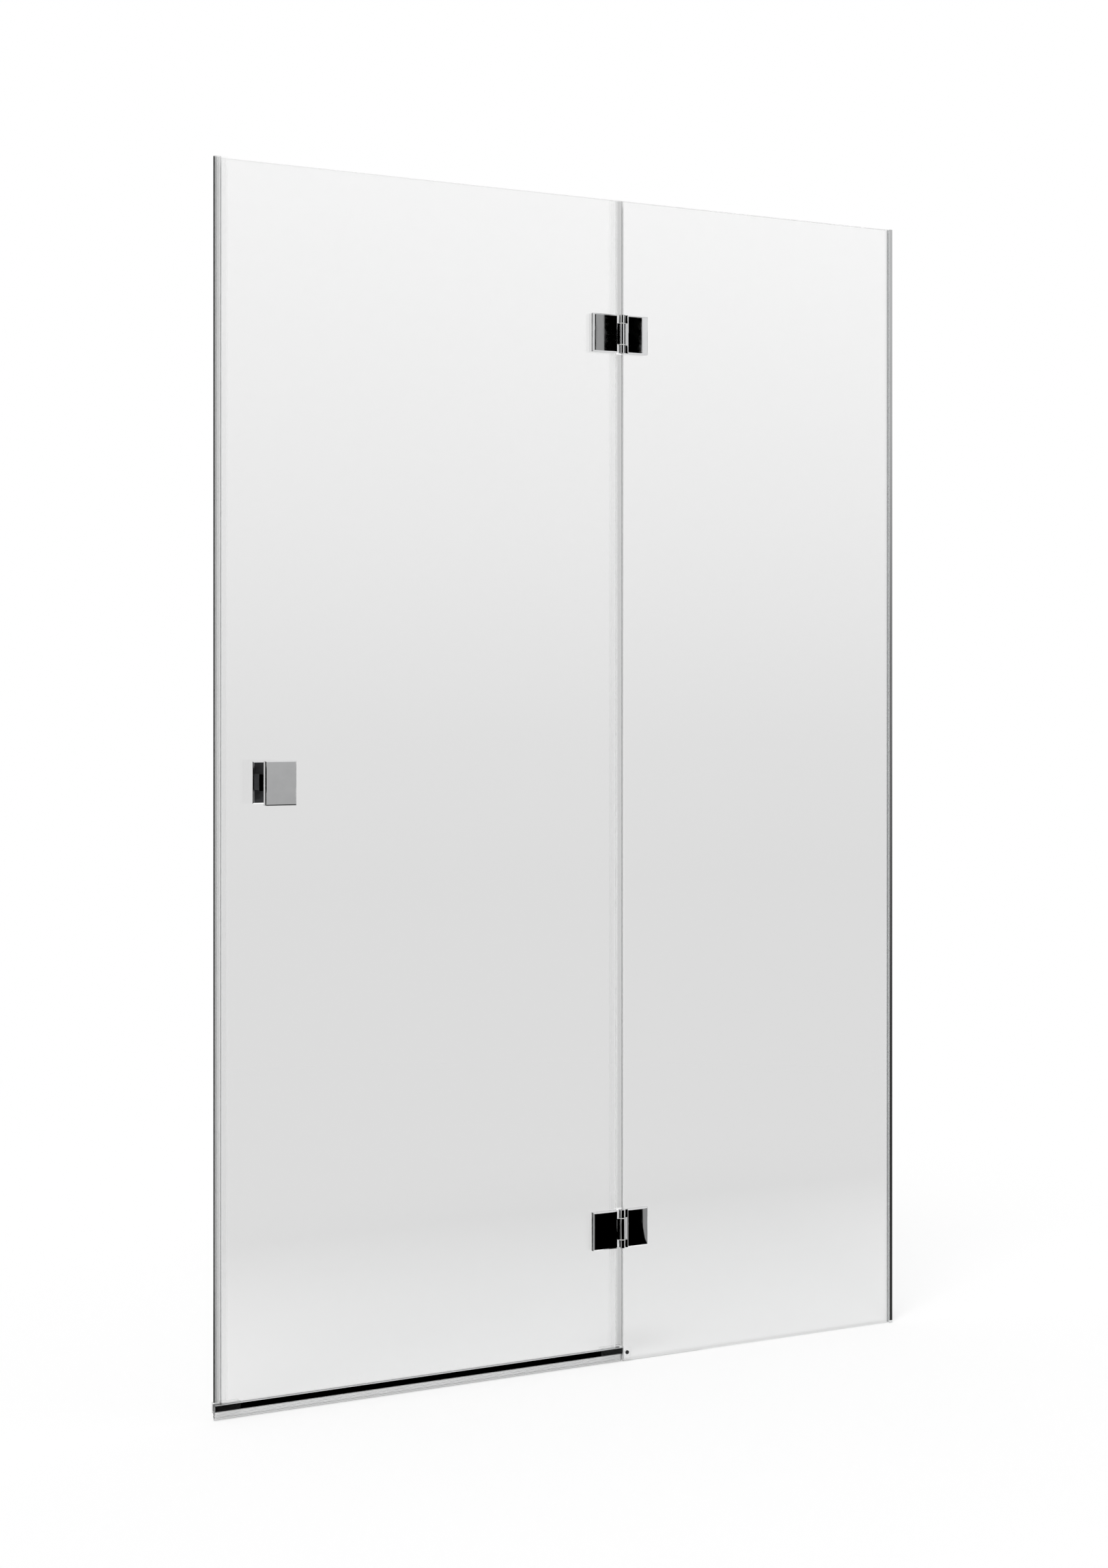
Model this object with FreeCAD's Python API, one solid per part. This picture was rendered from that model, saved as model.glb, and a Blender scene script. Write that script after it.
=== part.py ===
import FreeCAD, Part
import math
import os

# Frameless shower front: a clear glass door hung on a fixed glass panel in the same plane.
# Frame: X along the panes with 0 at the wall, +Y into the shower with 0 in the middle of the glass,
# +Z up with 0 at the tray. All sizes in millimetres.

# Panes
GLASS_THICKNESS = 8.0
GLASS_TOP = 1950.0
ARRIS = 0.8
DOOR_GLASS_WIDTH = 705.0
FIXED_GLASS_WIDTH = 551.0
PANE_GAP = 14.0

# Wall channel and its gasket
CHANNEL_DEPTH = 6.0
CHANNEL_WALL = 1.5
GASKET_LEG = 0.8
GASKET_WEB = 1.5
WALL_HOLE_RADIUS = 2.2
WALL_HOLE_END_INSET = 100.0
WALL_HOLE_COUNT = 4

# Hinges
HINGE_INSET = 225.0
HINGE_HEIGHT = 64.0
LEAF_THICKNESS = 8.0
DOOR_LEAF_WIDTH = 47.0
FIXED_LEAF_WIDTH = 41.0
LEAF_TO_AXIS = 9.0
LEAF_CHAMFER = 2.0
BARREL_RADIUS = 6.0
END_KNUCKLE = 13.5
WEB_THICKNESS = 6.0
PIN_RADIUS = 3.0
PIN_RECESS = 0.5
BUSH_WALL = 1.0
BUSH_LENGTH = 12.0
BUSH_FLANGE = 0.8
BACK_PLATE_WIDTH = 34.0
BACK_PLATE_THICKNESS = 6.0
BACK_PLATE_END_INSET = 4.0
CLAMP_GASKET = 1.0
CLAMP_GASKET_INSET = 0.5
CLAMP_SCREW_SPACING = 32.0
CLAMP_NOTCH_DEPTH = 29.0
CLAMP_NOTCH_HEIGHT = 50.0
CLAMP_NOTCH_CORNER = 6.0

# Countersunk screws and their sockets
SCREW_RADIUS = 3.0
SCREW_HEAD_RADIUS = 5.5
SCREW_GRIP = 6.0
SOCKET_FLATS = 4.0
SOCKET_DEPTH = 2.2

# Clip-on seals
SEAL_LEG = 1.0
SEAL_BASE = 1.5
SEAL_WALL = 1.0
CLOSING_SEAL_REACH = 12.0
CLOSING_SEAL_GRIP = 10.0
CLOSING_BULB_WIDTH = 9.0
CLOSING_SEAL_RISE = 2.0
HINGE_SEAL_GRIP = 11.0
HINGE_BULB_WIDTH = 8.0
SEAL_TO_HINGE = 1.0

# Bottom rail, its bedding, its wiper and its end caps
RAIL_BOTTOM = 14.0
RAIL_HEIGHT = 10.0
RAIL_WALL = 1.5
RAIL_FLOOR = 3.5
BEDDING = 0.5
SLOT_NECK_WIDTH = 3.0
SLOT_LIP = 1.2
SLOT_HEAD_WIDTH = 6.0
SLOT_HEAD_HEIGHT = 1.5
SWEEP_FLANGE_WIDTH = 11.0
SWEEP_FLANGE = 1.0
SWEEP_BODY_WIDTH = 6.0
SWEEP_RIB_WIDTH = 8.0
SWEEP_RIB_COUNT = 2
SWEEP_LIP_WIDTH = 2.0
TRAY_CLEARANCE = 0.5
CAP_LENGTH = 42.0
CAP_WALL = 1.2
CAP_END = 1.0
CAP_RISE = 3.5
CAP_EDGE = 0.5

# Clip and bumper on the fixed pane's lower corner
CLIP_THICKNESS = 1.0
CLIP_WIDTH = 15.0
CLIP_HEIGHT = 22.0
CLIP_BOTTOM = 1.0
BUMPER_RADIUS = 3.2
BUMPER_TIP_RADIUS = 2.6
BUMPER_HEIGHT = 2.0
BUMPER_FROM_EDGE = 6.0
BUMPER_LEVEL = 15.0

# Handle
HANDLE_FROM_EDGE = 79.0
HANDLE_LEVEL = 984.0
HANDLE_PLATE_WIDTH = 52.0
HANDLE_PLATE_HEIGHT = 69.0
HANDLE_PLATE_THICKNESS = 8.0
NECK_WIDTH = 30.0
NECK_HEIGHT = 26.0
NECK_LENGTH = 36.0
ROSE_WIDTH = 58.0
ROSE_HEIGHT = 66.0
ROSE_THICKNESS = 4.0
INNER_PLATE_WIDTH = 40.0
INNER_PLATE_HEIGHT = 50.0
INNER_PLATE_THICKNESS = 5.0
HANDLE_CHAMFER = 1.5
HANDLE_WASHER = 1.0
HANDLE_HOLE_RADIUS = 7.0
SPIGOT_WIDTH = 14.0
SPIGOT_LENGTH = 9.0
GRUB_RADIUS = 2.0
GRUB_FLATS = 2.0

# Clearances
RUNNING_CLEARANCE = 0.05
SEAT_CLEARANCE = 0.05
SLIP_CLEARANCE = 0.2
AXIAL_CLEARANCE = 0.2
SOFT_CLEARANCE = 0.3
CAP_TO_CLIP = 1.0

# Places worked out from the sizes above
GLASS_FACE = GLASS_THICKNESS / 2
FIXED_RIGHT = -(CHANNEL_WALL + GASKET_WEB)
FIXED_LEFT = FIXED_RIGHT - FIXED_GLASS_WIDTH
AXIS_X = FIXED_LEFT - PANE_GAP / 2
DOOR_RIGHT = FIXED_LEFT - PANE_GAP
DOOR_LEFT = DOOR_RIGHT - DOOR_GLASS_WIDTH
RAIL_TOP = RAIL_BOTTOM + RAIL_HEIGHT
DOOR_GLASS_BOTTOM = RAIL_BOTTOM + RAIL_FLOOR + BEDDING
LEAF_BACK = -(GLASS_FACE + CLAMP_GASKET)
LEAF_FRONT = LEAF_BACK - LEAF_THICKNESS
AXIS_Y = -(GLASS_FACE + BARREL_RADIUS)
BACK_PLATE_FRONT = GLASS_FACE + CLAMP_GASKET
BACK_PLATE_BACK = BACK_PLATE_FRONT + BACK_PLATE_THICKNESS
CLAMP_SCREW_FROM_AXIS = LEAF_TO_AXIS + BACK_PLATE_WIDTH / 2
BUSH_RADIUS = PIN_RADIUS + RUNNING_CLEARANCE + BUSH_WALL
MIDDLE_KNUCKLE_HALF = HINGE_HEIGHT / 2 - END_KNUCKLE - AXIAL_CLEARANCE - BUSH_FLANGE
HINGE_LEVELS = {"upper": GLASS_TOP - HINGE_INSET, "lower": HINGE_INSET}
DOOR, FIXED = -1, 1
HANDLE_X = DOOR_LEFT + HANDLE_FROM_EDGE
CAP_TOP = RAIL_TOP + CAP_RISE
CLOSING_SEAL_BOTTOM = CAP_TOP + SOFT_CLEARANCE
CLIP_TOP = CLIP_BOTTOM + CLIP_HEIGHT
HINGE_SEAL_BOTTOM = max(CAP_TOP, CLIP_TOP) + SOFT_CLEARANCE
CLIP_LEFT = FIXED_LEFT - CLIP_THICKNESS
CAPS_LEFT = DOOR_LEFT - CLOSING_SEAL_REACH
CAPS_RIGHT = CLIP_LEFT - CAP_TO_CLIP
RAIL_LEFT = CAPS_LEFT + CAP_END
RAIL_RIGHT = CAPS_RIGHT - CAP_END
RAIL_HALF = GLASS_FACE + BEDDING + RAIL_WALL

V = FreeCAD.Vector
UP = V(0, 0, 1)
INWARD = V(0, 1, 0)


def box(x0, x1, y0, y1, z0, z1):
    """A block between two corners."""
    return Part.makeBox(x1 - x0, y1 - y0, z1 - z0, V(x0, y0, z0))


def rod(radius, start, length, direction):
    """A round bar from start, along direction."""
    return Part.makeCylinder(radius, length, start, direction)


def is_flat_in(edge, axis, value):
    """True when every end of the edge lies at this value along the axis."""
    return all(abs(getattr(v.Point, axis) - value) < 1e-6 for v in edge.Vertexes)


def bevel(shape, size, axis, values):
    """Chamfer all edges that lie in the planes given by axis and values."""
    edges = [e for e in shape.Edges if any(is_flat_in(e, axis, value) for value in values)]
    return shape.makeChamfer(size, edges)


def prism(points, direction):
    """Extrude a closed outline of straight sides."""
    return Part.Face(Part.makePolygon(points + [points[0]])).extrude(direction)


def side_span(side, near, far):
    """X range on one side of the hinge axis, from distances to the axis."""
    return sorted((AXIS_X + side * near, AXIS_X + side * far))


def hex_socket(centre, outward, flats, depth):
    """The six-sided recess for a key, cut inwards from a screw's face."""
    across = V(0, 0, 1) if abs(outward.z) < 0.5 else V(1, 0, 0)
    corner = flats / math.sqrt(3)
    turn = FreeCAD.Rotation(outward, 60)
    points = [across * corner]
    for _ in range(5):
        points.append(turn.multVec(points[-1]))
    return prism([centre + p for p in points], outward * -depth)


def countersunk_screw(head_centre, outward, length):
    """A socket screw with a flush conical head, from its head's face inwards."""
    inward = outward * -1
    cone_height = SCREW_HEAD_RADIUS - SCREW_RADIUS
    head = Part.makeCone(SCREW_HEAD_RADIUS, SCREW_RADIUS, cone_height, head_centre, inward)
    shank = rod(SCREW_RADIUS, head_centre, length, inward)
    recess = hex_socket(head_centre, outward, SOCKET_FLATS, SOCKET_DEPTH)
    return head.fuse(shank).removeSplitter().cut(recess)


def countersunk_hole(head_centre, outward, length):
    """The hole that seats such a screw, with clearance all round."""
    inward = outward * -1
    cone_height = SCREW_HEAD_RADIUS - SCREW_RADIUS
    mouth = Part.makeCone(
        SCREW_HEAD_RADIUS + SEAT_CLEARANCE,
        SCREW_RADIUS + SEAT_CLEARANCE,
        cone_height,
        head_centre,
        inward,
    )
    return mouth.fuse(rod(SCREW_RADIUS + SEAT_CLEARANCE, head_centre, length, inward))


def save(node, *solids):
    """Write one sub-part, which may be a group of like solids."""
    shape = solids[0] if len(solids) == 1 else Part.makeCompound(list(solids))
    shape.exportStep("parts/" + node + ".step")


# Toughened panes with a fine arris on every edge, notched at the hinges for the clamps.
def notch_block(side, level, near, clearance):
    """What fills a pane's notch, from a distance to the axis inwards, with its two inner corners cut off."""
    far = PANE_GAP / 2 + CLAMP_NOTCH_DEPTH - clearance
    half = CLAMP_NOTCH_HEIGHT / 2 - clearance
    x0, x1 = side_span(side, near, far)
    block = box(x0, x1, -GLASS_FACE, GLASS_FACE, level - half, level + half)
    inner_edges = [e for e in block.Edges if is_flat_in(e, "x", AXIS_X + side * far)]
    corners = [e for e in inner_edges if any(is_flat_in(e, "z", level + end) for end in (-half, half))]
    return block.makeChamfer(CLAMP_NOTCH_CORNER, corners)


def pane(left, right, bottom, side):
    """One pane with its arris and a notch at each hinge."""
    glass = box(left, right, -GLASS_FACE, GLASS_FACE, bottom, GLASS_TOP)
    glass = bevel(glass, ARRIS, "y", (-GLASS_FACE, GLASS_FACE))
    return glass.cut([notch_block(side, level, 0, 0) for level in HINGE_LEVELS.values()])


def fixed_glass():
    return pane(FIXED_LEFT, FIXED_RIGHT, 0, FIXED)


def door_glass():
    glass = pane(DOOR_LEFT, DOOR_RIGHT, DOOR_GLASS_BOTTOM, DOOR)
    return glass.cut(rod(HANDLE_HOLE_RADIUS, at_handle(-GLASS_FACE), GLASS_THICKNESS, INWARD))


# The wall channel is a shallow U, and the gasket lines it all round the pane's edge.
def wall_hole_levels():
    pitch = (GLASS_TOP - 2 * WALL_HOLE_END_INSET) / (WALL_HOLE_COUNT - 1)
    return [WALL_HOLE_END_INSET + i * pitch for i in range(WALL_HOLE_COUNT)]


def wall_channel():
    inner = GLASS_FACE + GASKET_LEG
    outer = inner + CHANNEL_WALL
    channel = box(-CHANNEL_DEPTH, 0, -outer, outer, 0, GLASS_TOP)
    channel = channel.cut(box(-CHANNEL_DEPTH, -CHANNEL_WALL, -inner, inner, 0, GLASS_TOP))
    for level in wall_hole_levels():
        channel = channel.cut(rod(WALL_HOLE_RADIUS, V(-CHANNEL_WALL, 0, level), CHANNEL_WALL, V(1, 0, 0)))
    return channel


def glazing_gasket():
    outer = GLASS_FACE + GASKET_LEG
    strip = box(-CHANNEL_DEPTH, -CHANNEL_WALL, -outer, outer, 0, GLASS_TOP)
    return strip.cut(box(-CHANNEL_DEPTH, FIXED_RIGHT, -GLASS_FACE, GLASS_FACE, 0, GLASS_TOP))


# Hinge leaves: a thick chamfered plate outside the glass, with knuckles on the barrel's axis.
def knuckle(side, low, high):
    """One barrel stretch between two levels, with its bridge to the plate's near edge."""
    x0, x1 = side_span(side, 0, LEAF_TO_AXIS + LEAF_CHAMFER)
    middle = (LEAF_FRONT + LEAF_BACK) / 2
    half = WEB_THICKNESS / 2
    bridge = box(x0, x1, middle - half, middle + half, low, high)
    return rod(BARREL_RADIUS, V(AXIS_X, AXIS_Y, low), high - low, UP).fuse(bridge)


def leaf(side, level, width, stretches, bore):
    """A hinge leaf: plate, knuckles over the given stretches, their bore and the blind clamp holes."""
    x0, x1 = side_span(side, LEAF_TO_AXIS, LEAF_TO_AXIS + width)
    half = HINGE_HEIGHT / 2
    body = box(x0, x1, LEAF_FRONT, LEAF_BACK, level - half, level + half)
    body = bevel(body, LEAF_CHAMFER, "y", (LEAF_FRONT,))
    body = body.fuse([knuckle(side, level + low, level + high) for low, high in stretches])
    body = body.removeSplitter()
    body = body.cut(rod(bore, V(AXIS_X, AXIS_Y, level - half), HINGE_HEIGHT, UP))
    for offset in (-CLAMP_SCREW_SPACING / 2, CLAMP_SCREW_SPACING / 2):
        mouth = V(AXIS_X + side * CLAMP_SCREW_FROM_AXIS, LEAF_BACK, level + offset)
        depth = SCREW_GRIP + SLIP_CLEARANCE
        body = body.cut(rod(SCREW_RADIUS + SEAT_CLEARANCE, mouth, depth, INWARD * -1))
    return body


def fixed_leaf(level):
    half = HINGE_HEIGHT / 2
    stretches = [(-half, -half + END_KNUCKLE), (half - END_KNUCKLE, half)]
    return leaf(FIXED, level, FIXED_LEAF_WIDTH, stretches, PIN_RADIUS + SEAT_CLEARANCE)


def door_leaf(level):
    stretches = [(-MIDDLE_KNUCKLE_HALF, MIDDLE_KNUCKLE_HALF)]
    return leaf(DOOR, level, DOOR_LEAF_WIDTH, stretches, BUSH_RADIUS + SEAT_CLEARANCE)


def hinge_pin(level):
    length = HINGE_HEIGHT - 2 * PIN_RECESS
    return rod(PIN_RADIUS, V(AXIS_X, AXIS_Y, level - length / 2), length, UP)


def hinge_bush(level, way):
    """A flanged bush in one end of the middle knuckle; way is 1 for the top end and -1 for the bottom."""
    seat = V(AXIS_X, AXIS_Y, level + way * MIDDLE_KNUCKLE_HALF)
    sleeve = rod(BUSH_RADIUS, seat, BUSH_LENGTH, UP * -way)
    flange = rod(BARREL_RADIUS, seat, BUSH_FLANGE, UP * way)
    start = seat + UP * (way * BUSH_FLANGE)
    bore = rod(PIN_RADIUS + RUNNING_CLEARANCE, start, BUSH_LENGTH + BUSH_FLANGE, UP * -way)
    return sleeve.fuse(flange).removeSplitter().cut(bore)


# The clamp behind each leaf: back plate, gaskets on both faces of the glass, notch block and screws.
def clamp_screw_spots(side, level, y):
    x = AXIS_X + side * CLAMP_SCREW_FROM_AXIS
    return [V(x, y, level + offset) for offset in (-CLAMP_SCREW_SPACING / 2, CLAMP_SCREW_SPACING / 2)]


def back_plate(side, level):
    x0, x1 = side_span(side, LEAF_TO_AXIS, LEAF_TO_AXIS + BACK_PLATE_WIDTH)
    half = HINGE_HEIGHT / 2 - BACK_PLATE_END_INSET
    plate = box(x0, x1, BACK_PLATE_FRONT, BACK_PLATE_BACK, level - half, level + half)
    plate = bevel(plate, LEAF_CHAMFER, "y", (BACK_PLATE_BACK,))
    for spot in clamp_screw_spots(side, level, BACK_PLATE_BACK):
        plate = plate.cut(countersunk_hole(spot, INWARD, BACK_PLATE_THICKNESS))
    return plate


def screw_window(spot, thickness):
    """The square hole that lets a screw through a soft sheet or a spacer."""
    half = SCREW_RADIUS + SLIP_CLEARANCE
    return box(spot.x - half, spot.x + half, spot.y, spot.y + thickness, spot.z - half, spot.z + half)


def clamp_gaskets(side, level, leaf_width):
    """The pair of thin sheets that keep metal off the glass, outside and inside."""
    pads = []
    inset = CLAMP_GASKET_INSET
    leaf_half = HINGE_HEIGHT / 2
    plate_half = leaf_half - BACK_PLATE_END_INSET
    faces = ((leaf_width, leaf_half, LEAF_BACK), (BACK_PLATE_WIDTH, plate_half, GLASS_FACE))
    for width, half, y in faces:
        x0, x1 = side_span(side, LEAF_TO_AXIS + inset, LEAF_TO_AXIS + width - inset)
        pad = box(x0, x1, y, y + CLAMP_GASKET, level - half + inset, level + half - inset)
        for spot in clamp_screw_spots(side, level, y):
            pad = pad.cut(screw_window(spot, CLAMP_GASKET))
        pads.append(pad)
    return pads


def clamp_block(side, level):
    """The spacer that fills the pane's notch, so that the screws never touch the glass."""
    block = notch_block(side, level, PANE_GAP / 2, SLIP_CLEARANCE)
    spots = clamp_screw_spots(side, level, -GLASS_FACE)
    return block.cut([screw_window(spot, GLASS_THICKNESS) for spot in spots])


def clamp_screws(side, level):
    length = BACK_PLATE_BACK - LEAF_BACK + SCREW_GRIP
    spots = clamp_screw_spots(side, level, BACK_PLATE_BACK)
    return [countersunk_screw(spot, INWARD, length) for spot in spots]


# Clip-on seals: a U that grips the pane's edge, with a hollow round-nosed bulb beyond it.
def bulb_face(base_x, tip_x, half_width):
    """Plan outline of a bulb: two straight sides and a half-round nose."""
    way = 1 if tip_x > base_x else -1
    turn_x = tip_x - way * half_width
    a, b = V(base_x, -half_width, 0), V(turn_x, -half_width, 0)
    c, d = V(turn_x, half_width, 0), V(base_x, half_width, 0)
    nose = Part.Arc(b, V(tip_x, 0, 0), c)
    sides = [Part.LineSegment(a, b), nose, Part.LineSegment(c, d), Part.LineSegment(d, a)]
    return Part.Face(Part.Wire([s.toShape() for s in sides]))


def clip_seal(glass_edge, way, grip, bulb_tip, bulb_width, low, high):
    """A seal on a pane's edge; way is the direction from the edge out to the bulb along X."""
    rise = V(0, 0, high - low)
    outer = GLASS_FACE + SEAL_LEG
    base_x = glass_edge + way * SEAL_BASE
    x0, x1 = sorted((glass_edge - way * grip, base_x))
    clip = box(x0, x1, -outer, outer, 0, high - low)
    g0, g1 = sorted((glass_edge - way * grip, glass_edge))
    clip = clip.cut(box(g0, g1, -GLASS_FACE, GLASS_FACE, 0, high - low))
    skin = bulb_face(base_x, bulb_tip, bulb_width / 2)
    hollow = bulb_face(base_x, bulb_tip - way * SEAL_WALL, bulb_width / 2 - SEAL_WALL)
    seal = clip.fuse(skin.cut(hollow).extrude(rise)).removeSplitter()
    seal.translate(V(0, 0, low))
    return seal


def closing_seal():
    tip = DOOR_LEFT - CLOSING_SEAL_REACH
    high = GLASS_TOP + CLOSING_SEAL_RISE
    return clip_seal(DOOR_LEFT, -1, CLOSING_SEAL_GRIP, tip, CLOSING_BULB_WIDTH, CLOSING_SEAL_BOTTOM, high)


def hinge_seal(low, high):
    tip = FIXED_LEFT - SOFT_CLEARANCE
    return clip_seal(DOOR_RIGHT, 1, HINGE_SEAL_GRIP, tip, HINGE_BULB_WIDTH, low, high)


# The bottom rail holds the pane's lower edge in its upper groove and the wiper in its lower slot.
def cross_section(points):
    """A symmetric section: half its outline in Y and Z, mirrored and swept along the rail."""
    outline = points + [(-y, z) for y, z in reversed(points)]
    return prism([V(RAIL_LEFT, y, z) for y, z in outline], V(RAIL_RIGHT - RAIL_LEFT, 0, 0))


def bottom_rail():
    rail = box(RAIL_LEFT, RAIL_RIGHT, -RAIL_HALF, RAIL_HALF, RAIL_BOTTOM, RAIL_TOP)
    groove = RAIL_HALF - RAIL_WALL
    rail = rail.cut(box(RAIL_LEFT, RAIL_RIGHT, -groove, groove, RAIL_BOTTOM + RAIL_FLOOR, RAIL_TOP))
    neck, head = SLOT_NECK_WIDTH / 2, SLOT_HEAD_WIDTH / 2
    ledge = RAIL_BOTTOM + SLOT_LIP
    roof = ledge + SLOT_HEAD_HEIGHT
    return rail.cut(cross_section([(neck, RAIL_BOTTOM), (neck, ledge), (head, ledge), (head, roof)]))


def rail_bedding():
    low = RAIL_BOTTOM + RAIL_FLOOR
    outer = GLASS_FACE + BEDDING
    strip = box(DOOR_LEFT, DOOR_RIGHT, -outer, outer, low, RAIL_TOP)
    return strip.cut(box(DOOR_LEFT, DOOR_RIGHT, -GLASS_FACE, GLASS_FACE, DOOR_GLASS_BOTTOM, RAIL_TOP))


def bottom_sweep():
    """T-headed wiper: a flange under the rail, ribs down its skirt and a thin lip at the tray."""
    head_low = RAIL_BOTTOM + SLOT_LIP + SEAT_CLEARANCE
    head_top = RAIL_BOTTOM + SLOT_LIP + SLOT_HEAD_HEIGHT - SEAT_CLEARANCE
    neck, head = SLOT_NECK_WIDTH / 2 - SEAT_CLEARANCE, SLOT_HEAD_WIDTH / 2 - SEAT_CLEARANCE
    flange, body, rib = SWEEP_FLANGE_WIDTH / 2, SWEEP_BODY_WIDTH / 2, SWEEP_RIB_WIDTH / 2
    skirt_top = RAIL_BOTTOM - SWEEP_FLANGE
    step = (skirt_top - TRAY_CLEARANCE) / (SWEEP_RIB_COUNT + 1)
    points = [(head, head_top), (head, head_low), (neck, head_low), (neck, RAIL_BOTTOM)]
    points += [(flange, RAIL_BOTTOM), (flange, skirt_top), (body, skirt_top)]
    for i in range(1, SWEEP_RIB_COUNT + 1):
        level = skirt_top - i * step
        points += [(body, level + step / 2), (rib, level + step / 3), (rib, level + step / 6), (body, level)]
    points.append((SWEEP_LIP_WIDTH / 2, TRAY_CLEARANCE))
    return cross_section(points)


def rail_cap(end_x, way, glass_edge):
    """A sleeve over one end of the rail, open below for the wiper; way points from the end inwards."""
    outer = RAIL_HALF + CAP_WALL
    low = RAIL_BOTTOM - CAP_RISE
    inner_x = end_x + way * CAP_LENGTH
    x0, x1 = sorted((end_x, inner_x))
    cap = box(x0, x1, -outer, outer, low, CAP_TOP)
    cap = bevel(cap, CAP_EDGE, "y", (-outer, outer))
    r0, r1 = sorted((end_x + way * (CAP_END - SEAT_CLEARANCE), inner_x))
    seat = RAIL_HALF + SEAT_CLEARANCE
    cap = cap.cut(box(r0, r1, -seat, seat, low, RAIL_TOP + SEAT_CLEARANCE))
    g0, g1 = sorted((glass_edge - way * SOFT_CLEARANCE, inner_x))
    slot = GLASS_FACE + SOFT_CLEARANCE
    return cap.cut(box(g0, g1, -slot, slot, RAIL_TOP, CAP_TOP))


# A clear clip guards the fixed pane's lower corner and carries a small rubber bumper.
def corner_clip():
    outer = GLASS_FACE + CLIP_THICKNESS
    clip = box(CLIP_LEFT, CLIP_LEFT + CLIP_WIDTH, -outer, outer, CLIP_BOTTOM, CLIP_TOP)
    clip = bevel(clip, CLIP_THICKNESS / 2, "y", (-outer, outer))
    return clip.cut(box(FIXED_LEFT, CLIP_LEFT + CLIP_WIDTH, -GLASS_FACE, GLASS_FACE, CLIP_BOTTOM, CLIP_TOP))


def corner_bumper():
    """A low tapered stud, standing on the clip's outer face."""
    foot = V(FIXED_LEFT + BUMPER_FROM_EDGE, -(GLASS_FACE + CLIP_THICKNESS), BUMPER_LEVEL)
    return Part.makeCone(BUMPER_RADIUS, BUMPER_TIP_RADIUS, BUMPER_HEIGHT, foot, INWARD * -1)


# The handle: a chamfered plate on a block neck and a rose outside, and a flat plate inside.
HANDLE_AXIS = V(HANDLE_X, 0, HANDLE_LEVEL)
ROSE_BACK = -(GLASS_FACE + HANDLE_WASHER)
ROSE_FRONT = ROSE_BACK - ROSE_THICKNESS
NECK_FRONT = ROSE_FRONT - NECK_LENGTH
HANDLE_FRONT = NECK_FRONT - HANDLE_PLATE_THICKNESS
INNER_PLATE_FRONT = GLASS_FACE + HANDLE_WASHER
INNER_PLATE_BACK = INNER_PLATE_FRONT + INNER_PLATE_THICKNESS
HANDLE_SCREW_GRIP = NECK_LENGTH - SPIGOT_LENGTH - GRUB_RADIUS - NECK_LENGTH / 4


def handle_block(width, height, y0, y1):
    """A block centred on the handle's axis."""
    x, z = HANDLE_X, HANDLE_LEVEL
    return box(x - width / 2, x + width / 2, y0, y1, z - height / 2, z + height / 2)


def at_handle(y):
    return HANDLE_AXIS + INWARD * y


def handle_plate():
    plate = handle_block(HANDLE_PLATE_WIDTH, HANDLE_PLATE_HEIGHT, HANDLE_FRONT, NECK_FRONT)
    plate = bevel(plate, HANDLE_CHAMFER, "y", (HANDLE_FRONT,))
    spigot_end = NECK_FRONT + SPIGOT_LENGTH - SLIP_CLEARANCE
    spigot = handle_block(SPIGOT_WIDTH, SPIGOT_WIDTH, NECK_FRONT, spigot_end)
    return plate.fuse(spigot).removeSplitter()


def grub_point():
    """Where the grub screw's axis meets the neck's underside."""
    return V(HANDLE_X, NECK_FRONT + SPIGOT_LENGTH / 2, HANDLE_LEVEL - NECK_HEIGHT / 2)


def handle_neck():
    neck = handle_block(NECK_WIDTH, NECK_HEIGHT, NECK_FRONT, ROSE_FRONT)
    socket_width = SPIGOT_WIDTH + 2 * SEAT_CLEARANCE
    neck = neck.cut(handle_block(socket_width, socket_width, NECK_FRONT, NECK_FRONT + SPIGOT_LENGTH))
    depth = HANDLE_SCREW_GRIP + SLIP_CLEARANCE
    neck = neck.cut(rod(SCREW_RADIUS + SEAT_CLEARANCE, at_handle(ROSE_FRONT), depth, INWARD * -1))
    return neck.cut(rod(GRUB_RADIUS + SEAT_CLEARANCE, grub_point(), NECK_HEIGHT / 2, UP))


def handle_grub_screw():
    length = (NECK_HEIGHT - SPIGOT_WIDTH) / 2 - SLIP_CLEARANCE
    screw = rod(GRUB_RADIUS, grub_point(), length, UP)
    return screw.cut(hex_socket(grub_point(), UP * -1, GRUB_FLATS, GRUB_FLATS))


def handle_rose():
    rose = handle_block(ROSE_WIDTH, ROSE_HEIGHT, ROSE_FRONT, ROSE_BACK)
    rose = bevel(rose, HANDLE_CHAMFER, "y", (ROSE_FRONT,))
    return rose.cut(rod(SCREW_RADIUS + SLIP_CLEARANCE, at_handle(ROSE_FRONT), ROSE_THICKNESS, INWARD))


def handle_inner_plate():
    plate = handle_block(INNER_PLATE_WIDTH, INNER_PLATE_HEIGHT, INNER_PLATE_FRONT, INNER_PLATE_BACK)
    plate = bevel(plate, HANDLE_CHAMFER, "y", (INNER_PLATE_BACK,))
    return plate.cut(countersunk_hole(at_handle(INNER_PLATE_BACK), INWARD, INNER_PLATE_THICKNESS))


def handle_washers():
    """Thin clear sheets under the rose and under the inner plate."""
    sheets = []
    inset = 2 * CLAMP_GASKET_INSET
    outside = (ROSE_WIDTH, ROSE_HEIGHT, ROSE_BACK)
    inside = (INNER_PLATE_WIDTH, INNER_PLATE_HEIGHT, GLASS_FACE)
    for width, height, y in (outside, inside):
        sheet = handle_block(width - inset, height - inset, y, y + HANDLE_WASHER)
        sheets.append(sheet.cut(screw_window(at_handle(y), HANDLE_WASHER)))
    return sheets


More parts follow.
